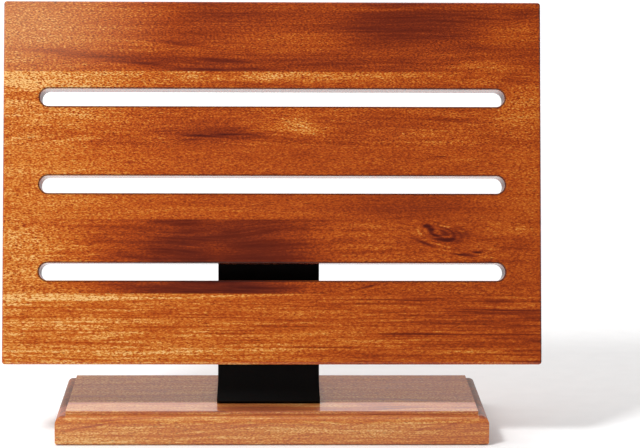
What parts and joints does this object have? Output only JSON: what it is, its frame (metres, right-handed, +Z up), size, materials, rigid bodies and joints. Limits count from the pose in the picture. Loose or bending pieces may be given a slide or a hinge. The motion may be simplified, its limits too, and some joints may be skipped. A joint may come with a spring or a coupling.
{
  "type": "magnetic knife board stand",
  "caption": "Free-standing magnetic knife board: a slotted, edge-glued wooden board leaning back on a black bent steel plate, on a moulded wooden base.",
  "frame": {"origin": "on the resting surface, under the middle of the base", "axes": "+X along the wood's grain and the board's width, +Y from the board's front towards its back, +Z up"},
  "size_m": [0.37, 0.13, 0.2986],
  "materials": {
    "acacia": "glossy clear lacquer over acacia",
    "nickel": "nickel plated",
    "mild_steel": "plain mill finish",
    "brass": "machined",
    "black_oxide": "black oxide, satin",
    "powder_coat": "matt black powder coat",
    "foot_rubber": "matt"
  },
  "bodies": {
    "root": {"front_stave_1": "acacia", "front_stave_2": "acacia", "front_stave_3": "acacia", "front_stave_4": "acacia", "front_stave_5": "acacia", "back_stave_1": "acacia", "back_stave_2": "acacia", "back_stave_3": "acacia", "back_stave_4": "acacia", "back_stave_5": "acacia", "magnet_row_1": "nickel", "magnet_row_2": "nickel", "magnet_row_3": "nickel", "magnet_row_4": "nickel", "keeper_strip_1": "mild_steel", "keeper_strip_2": "mild_steel", "keeper_strip_3": "mild_steel", "keeper_strip_4": "mild_steel", "board_inserts": "brass", "board_screws": "black_oxide", "stand_plate": "powder_coat", "base_front_stave": "acacia", "base_middle_stave": "acacia", "base_back_stave": "acacia", "base_inserts": "brass", "base_screws": "black_oxide", "foot_front_left": "foot_rubber", "foot_front_right": "foot_rubber", "foot_back_left": "foot_rubber", "foot_back_right": "foot_rubber"}
  },
  "joints": []
}
